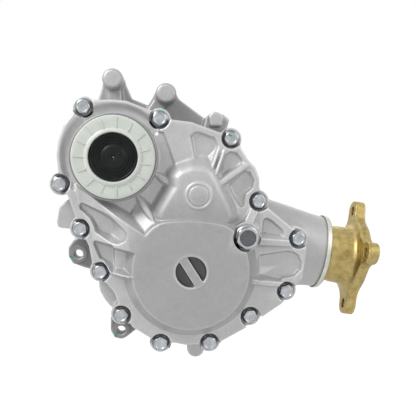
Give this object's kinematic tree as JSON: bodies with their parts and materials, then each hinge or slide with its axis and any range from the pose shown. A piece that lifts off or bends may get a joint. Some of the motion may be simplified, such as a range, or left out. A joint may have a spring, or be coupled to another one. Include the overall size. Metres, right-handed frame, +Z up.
{
  "type": "power take-off unit",
  "caption": "Transverse power take-off unit: cast two-part case, hollow input shaft, gear train, hypoid pair and a four-ear output flange.",
  "frame": {"origin": "on the input shaft's axis, in the face that seats on the transaxle", "axes": "+Y along the input axis towards the transaxle, +Z up, +X towards the output flange"},
  "size_m": [0.343, 0.1451, 0.3071],
  "materials": {
    "cast_aluminium": "blasted die-cast aluminium",
    "bright_zinc": "bright zinc plated",
    "gold_zinc": "yellow zinc plated casting",
    "gear_steel": "ground gear steel",
    "bearing_steel": "polished bearing steel",
    "gasket_grey": "cured sealant",
    "seal_rubber": "moulded seal rubber",
    "white_nylon": "translucent white nylon",
    "black_plastic": "moulded black plastic",
    "copper_washer": "soft copper"
  },
  "bodies": {
    "case": {"main_housing": "cast_aluminium", "front_cover": "cast_aluminium", "cover_gasket": "gasket_grey", "cover_bolts": "bright_zinc", "cover_dowels": "bright_zinc", "fill_plug": "bright_zinc", "fill_plug_washer": "copper_washer", "vent_fitting": "bright_zinc", "vent_cap": "black_plastic", "halfshaft_seal": "seal_rubber", "input_seal": "seal_rubber", "pinion_seal": "seal_rubber", "pilot_o_ring": "seal_rubber", "preload_shims": "gear_steel", "idler_pin": "gear_steel", "idler_front_cone": "bearing_steel", "idler_rear_cone": "bearing_steel", "input_front_cup": "bearing_steel", "input_rear_cup": "bearing_steel", "ring_front_cup": "bearing_steel", "ring_rear_cup": "bearing_steel", "pinion_inner_cup": "bearing_steel", "pinion_outer_cup": "bearing_steel"},
    "input": {"input_shaft": "gear_steel", "input_gear": "gear_steel", "input_front_cone": "bearing_steel", "input_rear_cone": "bearing_steel"},
    "idler": {"idler_gear": "gear_steel", "idler_front_cup": "bearing_steel", "idler_rear_cup": "bearing_steel"},
    "ring": {"ring_shaft": "gear_steel", "driven_gear": "gear_steel", "ring_gear": "gear_steel", "ring_gear_bolts": "gear_steel", "ring_front_cone": "bearing_steel", "ring_rear_cone": "bearing_steel"},
    "output": {"pinion_shaft": "gear_steel", "pinion_inner_cone": "bearing_steel", "pinion_outer_cone": "bearing_steel", "crush_sleeve": "gear_steel", "output_flange": "gold_zinc", "dust_slinger": "bright_zinc", "pinion_washer": "gear_steel", "pinion_nut": "gear_steel"},
    "guard": {"guard_ring": "white_nylon"},
    "plug": {"shaft_plug": "black_plastic"},
    "input_front_rollers": {"input_front_rollers": "bearing_steel"},
    "input_rear_rollers": {"input_rear_rollers": "bearing_steel"},
    "idler_front_rollers": {"idler_front_rollers": "bearing_steel"},
    "idler_rear_rollers": {"idler_rear_rollers": "bearing_steel"},
    "ring_front_rollers": {"ring_front_rollers": "bearing_steel"},
    "ring_rear_rollers": {"ring_rear_rollers": "bearing_steel"},
    "pinion_inner_rollers": {"pinion_inner_rollers": "bearing_steel"},
    "pinion_outer_rollers": {"pinion_outer_rollers": "bearing_steel"}
  },
  "joints": [
    {"name": "input_spin", "type": "hinge", "parent": "case", "child": "input", "pos_m": [0, -0.06, 0], "axis": [0, 1, 0], "continuous": true},
    {"name": "idler_spin", "type": "hinge", "parent": "case", "child": "idler", "pos_m": [0.08196, -0.08, -0.03718], "axis": [0, 1, 0], "continuous": true},
    {"name": "ring_spin", "type": "hinge", "parent": "case", "child": "ring", "pos_m": [0.07438, -0.07, -0.1118], "axis": [0, 1, 0], "continuous": true},
    {"name": "output_spin", "type": "hinge", "parent": "case", "child": "output", "pos_m": [0.17837, -0.032, -0.09728], "axis": [0.9854, 0, -0.1702], "continuous": true},
    {"name": "guard_pull", "type": "slide", "parent": "case", "child": "guard", "axis": [0, -1, 0], "range_m": [0, 0.03]},
    {"name": "plug_pull", "type": "slide", "parent": "case", "child": "plug", "axis": [0, -1, 0], "range_m": [0, 0.04]},
    {"name": "input_front_roll", "type": "hinge", "parent": "case", "child": "input_front_rollers", "pos_m": [0, -0.075, 0], "axis": [0, 1, 0], "continuous": true},
    {"name": "input_rear_roll", "type": "hinge", "parent": "case", "child": "input_rear_rollers", "pos_m": [0, -0.075, 0], "axis": [0, 1, 0], "continuous": true},
    {"name": "idler_front_roll", "type": "hinge", "parent": "case", "child": "idler_front_rollers", "pos_m": [0.08196, -0.075, -0.03718], "axis": [0, 1, 0], "continuous": true},
    {"name": "idler_rear_roll", "type": "hinge", "parent": "case", "child": "idler_rear_rollers", "pos_m": [0.08196, -0.075, -0.03718], "axis": [0, 1, 0], "continuous": true},
    {"name": "ring_front_roll", "type": "hinge", "parent": "case", "child": "ring_front_rollers", "pos_m": [0.07438, -0.075, -0.1118], "axis": [0, 1, 0], "continuous": true},
    {"name": "ring_rear_roll", "type": "hinge", "parent": "case", "child": "ring_rear_rollers", "pos_m": [0.07438, -0.075, -0.1118], "axis": [0, 1, 0], "continuous": true},
    {"name": "pinion_inner_roll", "type": "hinge", "parent": "case", "child": "pinion_inner_rollers", "pos_m": [0.14092, -0.032, -0.09082], "axis": [0.9854, 0, -0.1702], "continuous": true},
    {"name": "pinion_outer_roll", "type": "hinge", "parent": "case", "child": "pinion_outer_rollers", "pos_m": [0.19315, -0.032, -0.09984], "axis": [0.9854, 0, -0.1702], "continuous": true}
  ],
  "couplings": [
    {"joint": "idler_spin", "follows": "input_spin", "ratio": -1},
    {"joint": "ring_spin", "follows": "input_spin", "ratio": 1.5},
    {"joint": "output_spin", "follows": "input_spin", "ratio": 2.7},
    {"joint": "input_front_roll", "follows": "input_spin", "ratio": 0.4549},
    {"joint": "input_rear_roll", "follows": "input_spin", "ratio": 0.4549},
    {"joint": "idler_front_roll", "follows": "input_spin", "ratio": -0.5731},
    {"joint": "idler_rear_roll", "follows": "input_spin", "ratio": -0.5731},
    {"joint": "ring_front_roll", "follows": "input_spin", "ratio": 0.6346},
    {"joint": "ring_rear_roll", "follows": "input_spin", "ratio": 0.6353},
    {"joint": "pinion_inner_roll", "follows": "input_spin", "ratio": 1.1502},
    {"joint": "pinion_outer_roll", "follows": "input_spin", "ratio": 1.1422}
  ]
}
